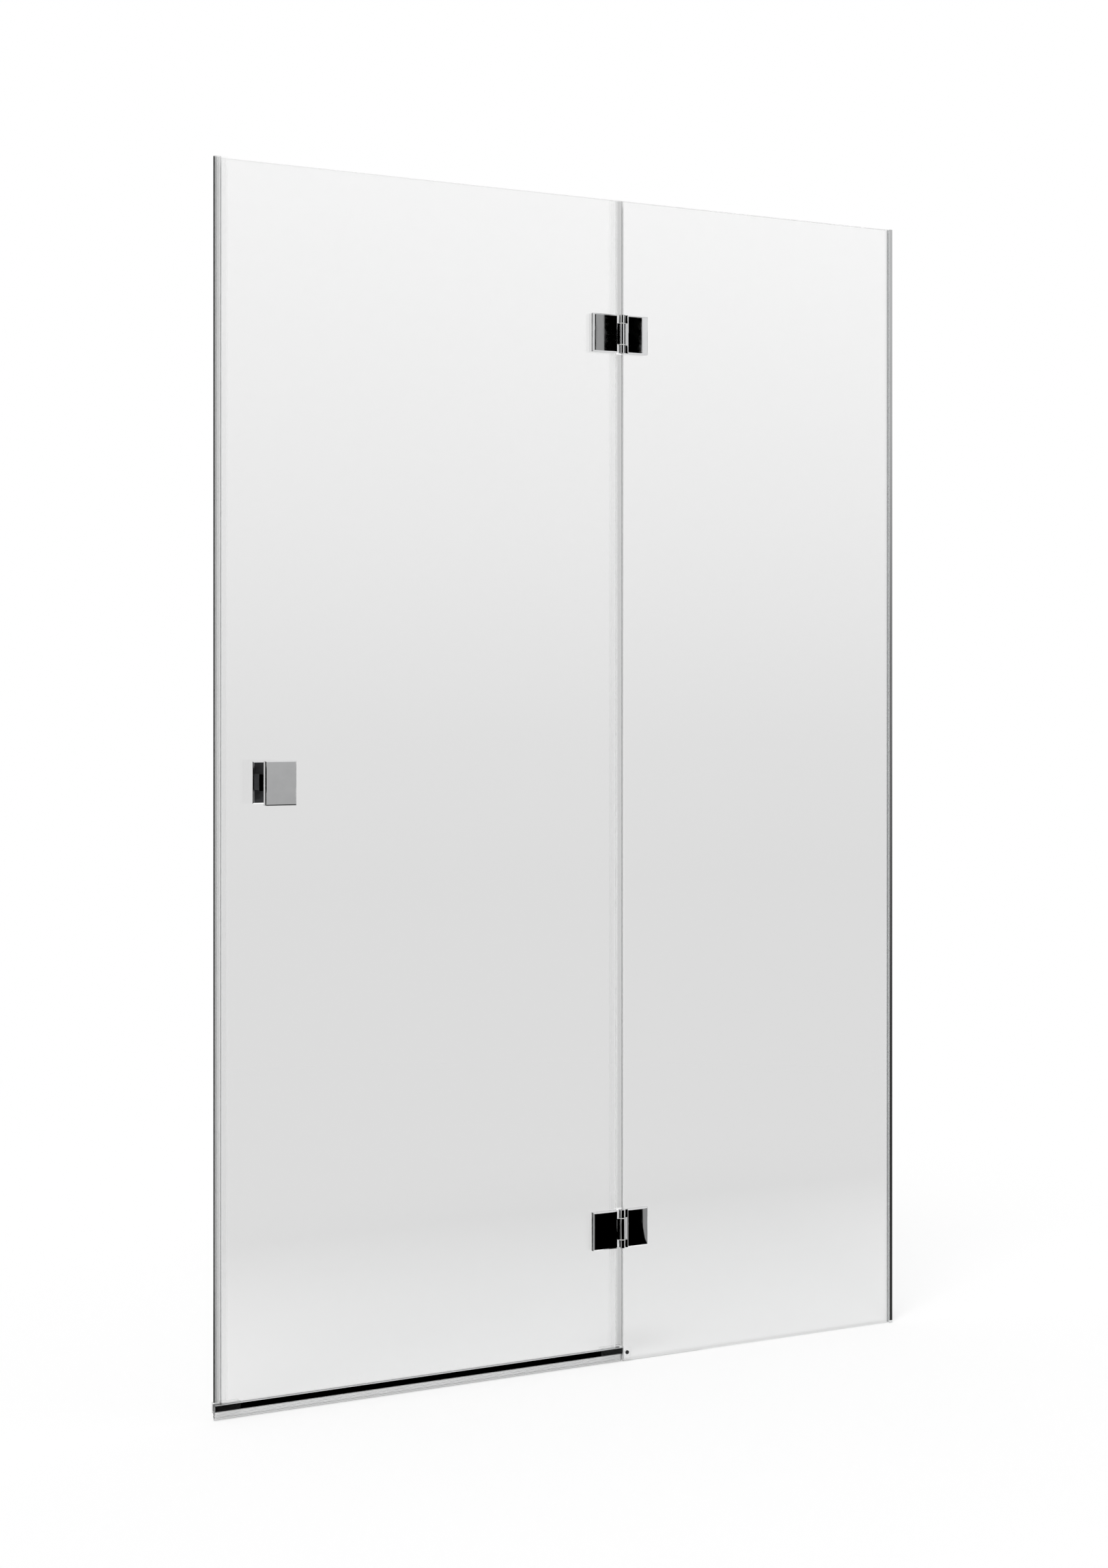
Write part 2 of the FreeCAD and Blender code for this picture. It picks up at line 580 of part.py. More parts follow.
def handle_sleeve():
    tube = rod(HANDLE_HOLE_RADIUS - SLIP_CLEARANCE, at_handle(-GLASS_FACE), GLASS_THICKNESS, INWARD)
    return tube.cut(screw_window(at_handle(-GLASS_FACE), GLASS_THICKNESS))


def handle_screw():
    length = INNER_PLATE_BACK - ROSE_FRONT + HANDLE_SCREW_GRIP
    return countersunk_screw(at_handle(INNER_PLATE_BACK), INWARD, length)


os.makedirs("parts", exist_ok=True)

save("fixed_glass", fixed_glass())
save("wall_channel", wall_channel())
save("glazing_gasket", glazing_gasket())
save("corner_clip", corner_clip())
save("corner_bumper", corner_bumper())

levels = list(HINGE_LEVELS.values())
save("hinge_fixed_leaves", *[fixed_leaf(level) for level in levels])
save("hinge_door_leaves", *[door_leaf(level) for level in levels])
save("hinge_pins", *[hinge_pin(level) for level in levels])
save("hinge_bushes", *[hinge_bush(level, way) for level in levels for way in (1, -1)])
for pane_name, side, leaf_width in (("fixed", FIXED, FIXED_LEAF_WIDTH), ("door", DOOR, DOOR_LEAF_WIDTH)):
    save(pane_name + "_back_plates", *[back_plate(side, level) for level in levels])
    pads = [clamp_gaskets(side, level, leaf_width) for level in levels]
    save(pane_name + "_clamp_gaskets", *sum(pads, []))
    save(pane_name + "_clamp_blocks", *[clamp_block(side, level) for level in levels])
    screws = [clamp_screws(side, level) for level in levels]
    save(pane_name + "_clamp_screws", *sum(screws, []))

save("door_glass", door_glass())
save("closing_seal", closing_seal())
half_break = HINGE_HEIGHT / 2 + SEAL_TO_HINGE
lower_level, upper_level = HINGE_LEVELS["lower"], HINGE_LEVELS["upper"]
save("hinge_seal_bottom", hinge_seal(HINGE_SEAL_BOTTOM, lower_level - half_break))
save("hinge_seal_middle", hinge_seal(lower_level + half_break, upper_level - half_break))
save("hinge_seal_top", hinge_seal(upper_level + half_break, GLASS_TOP))
save("bottom_rail", bottom_rail())
save("rail_bedding", rail_bedding())
save("bottom_sweep", bottom_sweep())
save("rail_cap_left", rail_cap(CAPS_LEFT, 1, DOOR_LEFT))
save("rail_cap_right", rail_cap(CAPS_RIGHT, -1, DOOR_RIGHT))

save("handle_plate", handle_plate())
save("handle_neck", handle_neck())
save("handle_grub_screw", handle_grub_screw())
save("handle_rose", handle_rose())
save("handle_inner_plate", handle_inner_plate())
save("handle_washers", *handle_washers())
save("handle_sleeve", handle_sleeve())
save("handle_screw", handle_screw())
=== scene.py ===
import math
import bmesh
import bpy
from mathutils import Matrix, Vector


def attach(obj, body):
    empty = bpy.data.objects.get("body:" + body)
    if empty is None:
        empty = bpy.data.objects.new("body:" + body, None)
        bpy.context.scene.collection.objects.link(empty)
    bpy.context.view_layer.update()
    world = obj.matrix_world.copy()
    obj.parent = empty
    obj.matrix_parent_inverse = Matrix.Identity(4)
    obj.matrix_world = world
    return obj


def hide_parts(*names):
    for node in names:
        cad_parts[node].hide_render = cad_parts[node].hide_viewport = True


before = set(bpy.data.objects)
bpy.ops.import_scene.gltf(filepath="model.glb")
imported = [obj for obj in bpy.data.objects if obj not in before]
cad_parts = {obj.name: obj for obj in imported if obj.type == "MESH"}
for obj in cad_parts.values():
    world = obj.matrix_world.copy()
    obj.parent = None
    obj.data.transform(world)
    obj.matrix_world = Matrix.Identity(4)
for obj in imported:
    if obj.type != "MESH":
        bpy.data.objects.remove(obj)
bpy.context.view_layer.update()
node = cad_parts
MM = 0.001


# CHANNEL: a shallow aluminium U, extruded, polished and chrome plated.
# Screws through its web hold it upright, and the fixed pane stands in it.
METAL = [("Metallic", 1.0)]
CHROME_TONES = (0.64, 0.645, 0.65), (0.72, 0.725, 0.73)
NOISE_LOW, NOISE_HIGH = 0.3, 0.7
LINES_ACROSS, LINES_ALONG = 900, 3


def fill(tree, made, inputs):
    """Sets or links a node's inputs: by name, with _ for a space, or by _ and a number."""
    for label, value in inputs.items():
        numbered = label.startswith("_")
        socket = made.inputs[int(label[1:]) if numbered else label.replace("_", " ")]
        if isinstance(value, bpy.types.NodeSocket):
            tree.links.new(value, socket)
        else:
            socket.default_value = value
    return made


def add(tree, kind, **inputs):
    """One new node with some of its inputs set."""
    return fill(tree, tree.nodes.new(kind), inputs)


def between(tree, value, low, high, to_low=0.0, to_high=1.0):
    """Carries a value from one range over to another, and no further."""
    made = add(tree, "ShaderNodeMapRange", Value=value, From_Min=low, From_Max=high)
    return fill(tree, made, {"To_Min": to_low, "To_Max": to_high}).outputs[0]


def pattern_group(name, own_input, own_kind, detail):
    """A shader group for a fine pattern: place, one input of its own and limits of gloss go in."""
    value, vector = "NodeSocketFloat", "NodeSocketVector"
    group = bpy.data.node_groups.new(name, "ShaderNodeTree")
    limits = ("Least", value), ("Most", value)
    for label, kind in (("Place", vector), (own_input, own_kind), *limits):
        group.interface.new_socket(label, in_out="INPUT", socket_type=kind)
    for label in ("Roughness", "Height"):
        group.interface.new_socket(label, in_out="OUTPUT", socket_type=value)
    given = group.nodes.new("NodeGroupInput").outputs
    noise = add(group, "ShaderNodeTexNoise", Detail=detail)
    height = noise.outputs["Fac"]
    gloss = between(group, height, NOISE_LOW, NOISE_HIGH, given["Least"], given["Most"])
    add(group, "NodeGroupOutput", Roughness=gloss, Height=height)
    return group, given, noise


def drawn_lines():
    """Fine lines along one direction, as a die leaves them on anything extruded."""
    kind = "NodeSocketVector"
    group, given, noise = pattern_group("drawn_lines", "Stretch", kind, detail=3.0)
    along = add(group, "ShaderNodeVectorMath", _0=given["Place"], _1=given["Stretch"])
    along.operation = "MULTIPLY"
    fill(group, noise, {"Vector": along.outputs[0], "Scale": 1.0})
    return group


LINES = drawn_lines()


def blank_material(name):
    """A new material, its nodes, its shader, and what tells a point's place and facing."""
    material = bpy.data.materials.new(name)
    material.use_nodes = True
    tree = material.node_tree
    where = tree.nodes.new("ShaderNodeTexCoord").outputs
    return material, tree, tree.nodes["Principled BSDF"], where


def place_group(tree, group, **inputs):
    """A shader group placed in a material with its own values."""
    placed = tree.nodes.new("ShaderNodeGroup")
    placed.node_tree = group
    return fill(tree, placed, inputs).outputs


def blend(tree, factor, one, two):
    """A colour between two others."""
    mix = tree.nodes.new("ShaderNodeMix")
    mix.data_type = "RGBA"
    return fill(tree, mix, {"Factor": factor, "_6": one, "_7": two}).outputs[2]


def two_tones(tree, shader, factor, first, second):
    """Base colour between two tones, by a factor over the surface."""
    tree.links.new(blend(tree, factor, (*first, 1), (*second, 1)), shader.inputs["Base Color"])


def uneven(tree, shader, height, strength, depth):
    """Lets a height shape the shader's normal."""
    bump = add(tree, "ShaderNodeBump", Height=height, Strength=strength, Distance=depth)
    tree.links.new(bump.outputs["Normal"], shader.inputs["Normal"])


def patterned(name, group, gloss, tones, relief, plain=(), **own):
    """A material whose roughness, tone and fine relief follow one pattern between limits.

    Relief is the bump's strength and depth, and plain has pairs of what is the same all over.
    """
    material, tree, shader, where = blank_material(name)
    least, most = gloss
    pattern = place_group(tree, group, Place=where["Object"], Least=least, Most=most, **own)
    tree.links.new(pattern["Roughness"], shader.inputs["Roughness"])
    two_tones(tree, shader, pattern["Height"], *tones)
    uneven(tree, shader, pattern["Height"], *relief)
    for label, value in plain:
        shader.inputs[label].default_value = value
    return material


def plated_extrusion(name, stretch):
    """Chrome on a drawn bar; stretch is small along the bar and large across it."""
    return patterned(
        name, LINES, gloss=(0.01, 0.04), tones=CHROME_TONES, relief=(0.02, 0.01 * MM),
        plain=METAL, Stretch=stretch,
    )


def dress(name, material):
    """Gives a CAD node its finish."""
    mesh = node[name].data
    mesh.materials.clear()
    mesh.materials.append(material)


UPRIGHT_LINES = (LINES_ACROSS, LINES_ACROSS, LINES_ALONG)
dress("wall_channel", plated_extrusion("chromed_channel", UPRIGHT_LINES))


# GLAZING GASKET: a soft pale U strip, extruded in silicone and pushed into the channel.
# It keeps the pane's edge off the metal and seals it.
SILICONE_TONES = (0.88, 0.89, 0.89), (0.94, 0.95, 0.95)
SILICONE_IOR = 1.41


def reckon(tree, kind, *values):
    """The result of one sum with one, two or three values."""
    inputs = {"_%d" % i: value for i, value in enumerate(values)}
    made = fill(tree, tree.nodes.new("ShaderNodeMath"), inputs)
    made.operation = kind
    return made.outputs[0]


def wiped_polish():
    """What every wiped or moulded surface has: cloudy changes of gloss and a faint unevenness."""
    kind = "NodeSocketFloat"
    group, given, noise = pattern_group("wiped_polish", "Cloud Size", kind, detail=5.0)
    count = reckon(group, "DIVIDE", 1.0, given["Cloud Size"])
    fill(group, noise, {"Vector": given["Place"], "Scale": count})
    return group


POLISH = wiped_polish()
SILICONE = patterned(
    "clear_silicone", POLISH, gloss=(0.38, 0.52), tones=SILICONE_TONES, relief=(0.2, 0.05 * MM),
    plain=[("IOR", SILICONE_IOR)], Cloud_Size=6 * MM,
)
dress("glazing_gasket", SILICONE)


# PANES: 8 mm clear float glass, cut, notched, drilled and ground on its edges, then toughened.
# The fixed pane stands in the channel, and the door hangs on it.
FACE_TONE, EDGE_TONE = (0.763, 0.763, 0.763), (0.72, 0.73, 0.73)
FACE_SQUARE, EDGE_SQUARE = 0.95, 0.85
FACE_HAZE, EDGE_ROUGHNESS, EDGE_DENSITY = 0.003, 0.25, 0.35
HAZE_SIZE, ROLLER_WAVE = 120 * MM, 300 * MM
GLASS_IOR = 1.5
LAMP_THROUGH_GLASS = (0.86, 0.87, 0.87, 1)


def either(tree, factor, one, two):
    """Shows one shader or the other, by a factor."""
    mix = add(tree, "ShaderNodeMixShader", Fac=factor, _1=one.outputs[0], _2=two.outputs[0])
    tree.links.new(mix.outputs[0], tree.nodes["Material Output"].inputs["Surface"])


def clear_glass():
    """Clear on its faces, finely frosted on its ground edges; lamps shine through it."""
    material, tree, shader, where = blank_material("clear_glass")
    facing = add(tree, "ShaderNodeSeparateXYZ", Vector=where["Normal"]).outputs
    edge = between(tree, reckon(tree, "ABSOLUTE", facing["Y"]), FACE_SQUARE, EDGE_SQUARE)
    haze = place_group(
        tree, POLISH, Place=where["Object"], Cloud_Size=HAZE_SIZE, Least=0.0, Most=FACE_HAZE
    )
    wave = place_group(
        tree, POLISH, Place=where["Object"], Cloud_Size=ROLLER_WAVE, Least=0.0, Most=1.0
    )
    fill(tree, shader, {
        "Roughness": between(tree, edge, 0.0, 1.0, haze["Roughness"], EDGE_ROUGHNESS),
        "Alpha": between(tree, edge, 0.0, 1.0, 1.0, EDGE_DENSITY),
        "IOR": GLASS_IOR,
        "Transmission_Weight": 1.0,
    })
    two_tones(tree, shader, edge, FACE_TONE, EDGE_TONE)
    uneven(tree, shader, wave["Height"], strength=0.05, depth=0.3 * MM)
    through = add(tree, "ShaderNodeBsdfTransparent", Color=LAMP_THROUGH_GLASS)
    lamp_ray = tree.nodes.new("ShaderNodeLightPath").outputs["Is Shadow Ray"]
    either(tree, lamp_ray, shader, through)
    return material


GLASS = clear_glass()
dress("fixed_glass", GLASS)
dress("door_glass", GLASS)


# HINGES: solid brass leaves, machined, polished and chrome plated, two on each pane.
# Their knuckles interleave on a steel pin, with a flanged plastic bush between each pair.
LEAST_TURN, CRISP_TURN = math.radians(0.5), math.radians(18)
FLAT_TURN, SHARP_TURN = math.radians(1), math.radians(25)
SAME_SPOT = 1e-6
METAL_EASE = 0.15 * MM
NYLON_TONES = (0.62, 0.62, 0.60), (0.72, 0.72, 0.70)
STEEL_TONES = (0.50, 0.50, 0.51), (0.64, 0.64, 0.65)
TURNED_LINES = (300, 9000, 300)


def shade_round(shape):
    """Smooth shading over small turns of a surface, a crisp line at its corners."""
    shape.normal_update()
    for face in shape.faces:
        turns = [e.calc_face_angle() for e in face.edges if len(e.link_faces) == 2]
        face.smooth = any(LEAST_TURN < turn < CRISP_TURN for turn in turns)
    for edge in shape.edges:
        edge.smooth = len(edge.link_faces) == 2 and edge.calc_face_angle() < CRISP_TURN


def new_piece(name, shape, material, body, slot, *replaced):
    """Turns a finished shape into a piece of the object in place of CAD nodes."""
    mesh = bpy.data.meshes.new(name)
    shape.to_mesh(mesh)
    shape.free()
    mesh.materials.append(material)
    piece = bpy.data.objects.new(name, mesh)
    bpy.context.scene.collection.objects.link(piece)
    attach(piece, body)
    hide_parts(*replaced)


def eased_copy(name, body, ease, material, slot):
    """A CAD node with its sharp edges broken by a fine chamfer and its round faces smooth."""
    shape = bmesh.new()
    shape.from_mesh(node[name].data)
    bmesh.ops.remove_doubles(shape, verts=shape.verts, dist=SAME_SPOT)
    bmesh.ops.dissolve_limit(shape, angle_limit=FLAT_TURN, verts=shape.verts, edges=shape.edges)
    joined = [e for e in shape.edges if len(e.link_faces) == 2]
    sharp = [e for e in joined if e.calc_face_angle() > SHARP_TURN]
    bmesh.ops.bevel(
        shape, geom=sharp, offset=ease, segments=1, affect="EDGES", clamp_overlap=True
    )
    shade_round(shape)
    new_piece("eased_" + name, shape, material, body, slot, name)


CHROME = patterned(
    "polished_chrome", POLISH, gloss=(0.006, 0.02), tones=CHROME_TONES, relief=(0.01, 0.02 * MM),
    plain=METAL, Cloud_Size=14 * MM,
)
NYLON = patterned(
    "white_nylon", POLISH, gloss=(0.35, 0.5), tones=NYLON_TONES, relief=(0.15, 0.05 * MM),
    Cloud_Size=3 * MM,
)
STEEL = patterned(
    "stainless_steel", LINES, gloss=(0.18, 0.34), tones=STEEL_TONES, relief=(0.1, 0.02 * MM),
    plain=METAL, Stretch=TURNED_LINES,
)
for name, body in (("hinge_fixed_leaves", "fixed_screen"), ("hinge_door_leaves", "door")):
    eased_copy(name, body, METAL_EASE, CHROME, "polished_chrome")
dress("hinge_bushes", NYLON)
dress("hinge_pins", STEEL)


# CLAMPS: behind each leaf a plated back plate, soft gaskets on both faces of the glass,
# and a nylon block in the pane's notch. Two countersunk steel screws draw each set together.
LOWER_HINGE, UPPER_HINGE = 225, 1725
SCREW_STEP, SCREW_FACE_Y, CLAMP_SCREW = 16, 11.0, 22.0
FIXED_SCREW_X, DOOR_SCREW_X = -535.0, -587.0
HEAD_RADIUS, HEAD_DEPTH, HEAD_EASE = 5.5, 2.7, 0.2
SHANK_RADIUS, TIP = 3.0, 0.6
SOCKET_HALF, SOCKET_DEPTH = 2.0, 2.2
SCREW_SIDES = 36
TURN_SEED = 7
for side, body in (("fixed", "fixed_screen"), ("door", "door")):
    eased_copy(side + "_back_plates", body, METAL_EASE, CHROME, "polished_chrome")
    dress(side + "_clamp_gaskets", SILICONE)
    dress(side + "_clamp_blocks", NYLON)


def turned_shape(rings):
    """A closed shape over rings of points, one after the other along its axis."""
    shape = bmesh.new()
    loops = [[shape.verts.new(spot) for spot in ring] for ring in rings]
    count = len(rings[0])
    for one, two in zip(loops, loops[1:]):
        for i in range(count):
            j = (i + 1) % count
            shape.faces.new((one[i], two[i], two[j], one[j]))
    shape.faces.new(loops[0])
    shape.faces.new(loops[-1])
    bmesh.ops.recalc_face_normals(shape, faces=shape.faces)
    shade_round(shape)
    return shape


def around(count):
    """Equal turns once around an axis."""
    return [2 * math.pi * i / count for i in range(count)]


def countersunk_screw(length):
    """One screw with a hexagon socket: its head's face at 0, its shank along -Y."""
    flat = math.pi / 3

    def ring(level, radius, flats=False):
        spots = []
        for t in around(SCREW_SIDES):
            out = radius / math.cos(t % flat - flat / 2) if flats else radius
            spots.append([v * MM for v in (out * math.cos(t), level, out * math.sin(t))])
        return spots

    shape = turned_shape([
        ring(-SOCKET_DEPTH, SOCKET_HALF, flats=True),
        ring(-HEAD_EASE, SOCKET_HALF, flats=True),
        ring(0.0, SOCKET_HALF + TIP),
        ring(0.0, HEAD_RADIUS - HEAD_EASE),
        ring(-HEAD_EASE, HEAD_RADIUS),
        ring(-HEAD_DEPTH, SHANK_RADIUS),
        ring(TIP - length, SHANK_RADIUS),
        ring(-length, SHANK_RADIUS - TIP),
    ])
    mesh = bpy.data.meshes.new("one_screw")
    shape.to_mesh(mesh)
    shape.free()
    screw = bpy.data.objects.new("one_screw", mesh)
    bpy.context.scene.collection.objects.link(screw)
    return screw


def nodes_tree(name, *inputs):
    """An empty geometry nodes tree with a base mesh, named inputs and a finish."""
    tree = bpy.data.node_groups.new(name, "GeometryNodeTree")
    tree.interface.new_socket("Geometry", in_out="OUTPUT", socket_type="NodeSocketGeometry")
    for label, kind in (("Base", "Geometry"), *inputs, ("Finish", "Material")):
        tree.interface.new_socket(label, in_out="INPUT", socket_type="NodeSocket" + kind)
    return tree, tree.nodes.new("NodeGroupInput").outputs


def end_tree(tree, geometry, finish):
    """Ends a tree in plain geometry with its finish on."""
    real = add(tree, "GeometryNodeRealizeInstances", Geometry=geometry)
    dressed = add(tree, "GeometryNodeSetMaterial", Geometry=real.outputs[0], Material=finish)
    add(tree, "NodeGroupOutput", Geometry=dressed.outputs[0])


def screw_set_tree():
    """A copy of one screw at every point, each turned about its own axis as it came to rest."""
    tree, given = nodes_tree("screw_set", ("Screw", "Object"), ("Turn Seed", "Int"))
    points = add(tree, "GeometryNodeMeshToPoints", Mesh=given["Base"])
    one = add(tree, "GeometryNodeObjectInfo", Object=given["Screw"])
    turn = tree.nodes.new("FunctionNodeRandomValue")
    turn.data_type = "FLOAT_VECTOR"
    most = (0, math.pi / 3, 0)
    fill(tree, turn, {"_0": (0, 0, 0), "_1": most, "Seed": given["Turn Seed"]})
    placed = add(
        tree, "GeometryNodeInstanceOnPoints",
        Points=points.outputs[0], Instance=one.outputs["Geometry"], Rotation=turn.outputs[0],
    )
    end_tree(tree, placed.outputs[0], given["Finish"])
    return tree


def settle(base_mesh, tree, **inputs):
    """Runs a tree on a mesh and gives back its result as a plain shape."""
    maker = bpy.data.objects.new("maker", base_mesh)
    bpy.context.scene.collection.objects.link(maker)
    modifier = maker.modifiers.new("nodes", "NODES")
    modifier.node_group = tree
    sockets = [s for s in tree.interface.items_tree if s.in_out == "INPUT"]
    names = {s.name: s.identifier for s in sockets}
    for label, value in inputs.items():
        modifier[names[label.replace("_", " ")]] = value
    made = maker.evaluated_get(bpy.context.evaluated_depsgraph_get())
    mesh = bpy.data.meshes.new_from_object(made)
    bpy.data.objects.remove(maker)
    shape = bmesh.new()
    shape.from_mesh(mesh)
    shade_round(shape)
    return shape


SCREWS = screw_set_tree()


def screw_set(name, body, node_name, head_spots, length):
    """Screws of one length in place of a CAD node, by the places of their heads."""
    spots = bpy.data.meshes.new("spots")
    spots.from_pydata([[v * MM for v in spot] for spot in head_spots], [], [])
    one = countersunk_screw(length)
    shape = settle(spots, SCREWS, Screw=one, Turn_Seed=TURN_SEED, Finish=STEEL)
    bpy.data.objects.remove(one)
    new_piece(name, shape, STEEL, body, "stainless_steel", node_name)


for side, body, x in (("fixed", "fixed_screen", FIXED_SCREW_X), ("door", "door", DOOR_SCREW_X)):
    hinges, steps = (LOWER_HINGE, UPPER_HINGE), (-SCREW_STEP, SCREW_STEP)
    heads = [(x, SCREW_FACE_Y, hinge + step) for hinge in hinges for step in steps]
    screw_set(side + "_screw_set", body, side + "_clamp_screws", heads, CLAMP_SCREW)


# SEALS: clear PVC strips, extruded, cut to length and pushed on the door's upright edges.
# Each has a hard clip that grips the glass and a softer, greyer bulb that closes the gap.
DOOR_FREE_EDGE, DOOR_HINGE_EDGE = -1273.0, -568.0
GLASS_TOP, RAIL_TOP, HINGE_CUT, SEAL_PROUD = 1950.0, 27.8, 33.0, 2.0
CLIP_BASE, CLIP_HALF, CLIP_LIP = 1.5, 5.0, 4.12
CLIP_EASE, LIP_EDGE, LIP_SLOPE, GLASS_PLAY = 0.4, 0.3, 1.0, 0.1
BULB_SKIN, BULB_SINK, BULB_STEPS = 0.9, 0.1, 24
CLEAR_TONE, SHADE_AND_GREYER_TONE = (0.80, 0.81, 0.81), (0.03, 0.032, 0.032)
PVC_GLOSS, PVC_RELIEF = (0.12, 0.24), (0.1, 0.03 * MM)
PVC_ALONG = 4
EDGE_ON = 0.75


def clear_pvc(name, stretch, density, edge_density, falloff, greyer_span=None):
    """Thin clear plastic: nearly all seen through face on; painted shade makes it greyer and denser
    where it is seen edge on.

    The last argument is for a strip with a greyer part along X: where that starts and is full, and
    its density.
    """
    material, tree, shader, where = blank_material(name)
    least, most = PVC_GLOSS
    lines = place_group(
        tree, LINES, Place=where["Object"], Stretch=stretch, Least=least, Most=most
    )
    # Painted shade: the base colour darkens towards the near black tone and the plastic grows
    # denser where its wall is seen edge on.
    facing = add(tree, "ShaderNodeLayerWeight", Blend=EDGE_ON).outputs["Facing"]
    dark = reckon(tree, "POWER", facing, falloff)
    solid = between(tree, dark, 0.0, 1.0, density, edge_density)
    if greyer_span:
        # A greyer span along X: colour and density go up there as well.
        start, full, greyer_density = greyer_span
        along = add(tree, "ShaderNodeSeparateXYZ", Vector=where["Object"]).outputs["X"]
        grey = between(tree, along, start * MM, full * MM)
        dark = reckon(tree, "MAXIMUM", dark, grey)
        solid = reckon(tree, "MAXIMUM", solid, reckon(tree, "MULTIPLY", grey, greyer_density))
    fill(tree, shader, {"Roughness": lines["Roughness"], "Alpha": solid})
    two_tones(tree, shader, dark, CLEAR_TONE, SHADE_AND_GREYER_TONE)
    uneven(tree, shader, lines["Height"], *PVC_RELIEF)
    return material


UPRIGHT_PVC = (LINES_ACROSS, LINES_ACROSS, PVC_ALONG)
# Each strip's painted shade: how dense it is face on and edge on, and how fast it comes on.
CLIP_PVC = clear_pvc(
    "clear_pvc_hard", UPRIGHT_PVC, density=0.05, edge_density=0.32, falloff=8.0
)
HINGE_BULB = clear_pvc(
    "clear_pvc_hinge_bulb", UPRIGHT_PVC, density=0.05, edge_density=0.2, falloff=1.3,
    greyer_span=(DOOR_HINGE_EDGE + 1.0, DOOR_HINGE_EDGE + 3.0, 0.13),
)
CLOSING_BULB = clear_pvc(
    "clear_pvc_closing_bulb", UPRIGHT_PVC, density=0.08, edge_density=1.0, falloff=0.9,
    greyer_span=(DOOR_FREE_EDGE - 6.0, DOOR_FREE_EDGE - 8.5, 0.23),
)


def strip_tree():
    """A flat section pushed along one line, and closed at both ends."""
    tree, given = nodes_tree("pushed_strip", ("Run", "Vector"))
    pushed = add(
        tree, "GeometryNodeExtrudeMesh",
        Mesh=given["Base"], Offset=given["Run"], Individual=False,
    )
    start = add(tree, "GeometryNodeFlipFaces", Mesh=given["Base"])
    both = tree.nodes.new("GeometryNodeJoinGeometry")
    tree.links.new(pushed.outputs["Mesh"], both.inputs[0])
    tree.links.new(start.outputs[0], both.inputs[0])
    closed = add(
        tree, "GeometryNodeMergeByDistance", Geometry=both.outputs[0], Distance=SAME_SPOT
    )
    end_tree(tree, closed.outputs[0], given["Finish"])
    return tree


STRIPS = strip_tree()


def flat_section(outline, run):
    """A flat face inside a closed outline, looking the way it will be pushed."""
    shape = bmesh.new()
    verts = [shape.verts.new([v * MM for v in spot]) for spot in outline]
    for one, two in zip(verts, verts[1:] + verts[:1]):
        shape.edges.new((one, two))
    bmesh.ops.triangle_fill(shape, use_beauty=True, edges=shape.edges)
    shape.normal_update()
    for face in shape.faces:
        if face.normal.dot(Vector(run)) < 0:
            face.normal_flip()
    mesh = bpy.data.meshes.new("section")
    shape.to_mesh(mesh)
    shape.free()
    return mesh


def strip(name, outline, run, material, node_name):
    """One extruded strip on the door in place of a CAD node."""
    run = [v * MM for v in run]
    shape = settle(flat_section(outline, run), STRIPS, Run=run, Finish=material)
    new_piece(name, shape, material, "door", "clear_pvc", node_name)


def clip_section(grip):
    """Outline of a seal's clip: a U over the pane's edge, with lips that grip the glass."""
    half = [
        (CLIP_BASE, CLIP_HALF - CLIP_EASE), (CLIP_BASE - CLIP_EASE, CLIP_HALF),
        (-grip, CLIP_HALF), (-grip, CLIP_HALF - LIP_EDGE),
        (LIP_SLOPE - grip, CLIP_LIP), (GLASS_PLAY, CLIP_LIP),
    ]
    return half + [(out, -across) for out, across in reversed(half)]


def bulb_section(reach, half):
    """Outline of its bulb: one thin skin bent round a hollow, both feet on the clip."""
    foot = CLIP_BASE - BULB_SINK
    turns = [math.pi / 2 - math.pi * i / BULB_STEPS for i in range(BULB_STEPS + 1)]

    def bend(radius):
        middle = reach - half
        end = [(middle + radius * math.cos(t), radius * math.sin(t)) for t in turns]
        return [(foot, radius)] + end + [(foot, -radius)]

    return bend(half) + bend(half - BULB_SKIN)[::-1]


def seal(name, edge, way, grip, reach, half, low, high, soft):
    """One length of seal on a pane's edge; way is the side that its bulb looks to."""
    clip = "_clip", clip_section(grip), CLIP_PVC
    bulb = "_bulb", bulb_section(reach, half), soft
    for ending, section, material in (clip, bulb):
        outline = [(edge + way * out, across, low) for out, across in section]
        strip(name + ending, outline, (0, 0, high - low), material, name)


seal(
    "closing_seal", DOOR_FREE_EDGE, way=-1, grip=10.0, reach=12.0, half=4.5,
    low=RAIL_TOP, high=GLASS_TOP + SEAL_PROUD, soft=CLOSING_BULB,
)
for place, low, high in (
    ("bottom", RAIL_TOP, LOWER_HINGE - HINGE_CUT),
    ("middle", LOWER_HINGE + HINGE_CUT, UPPER_HINGE - HINGE_CUT),
    ("top", UPPER_HINGE + HINGE_CUT, GLASS_TOP),
):
    seal(
        "hinge_seal_" + place, DOOR_HINGE_EDGE, way=1, grip=11.0, reach=13.7, half=4.0,
        low=low, high=high, soft=HINGE_BULB,
    )


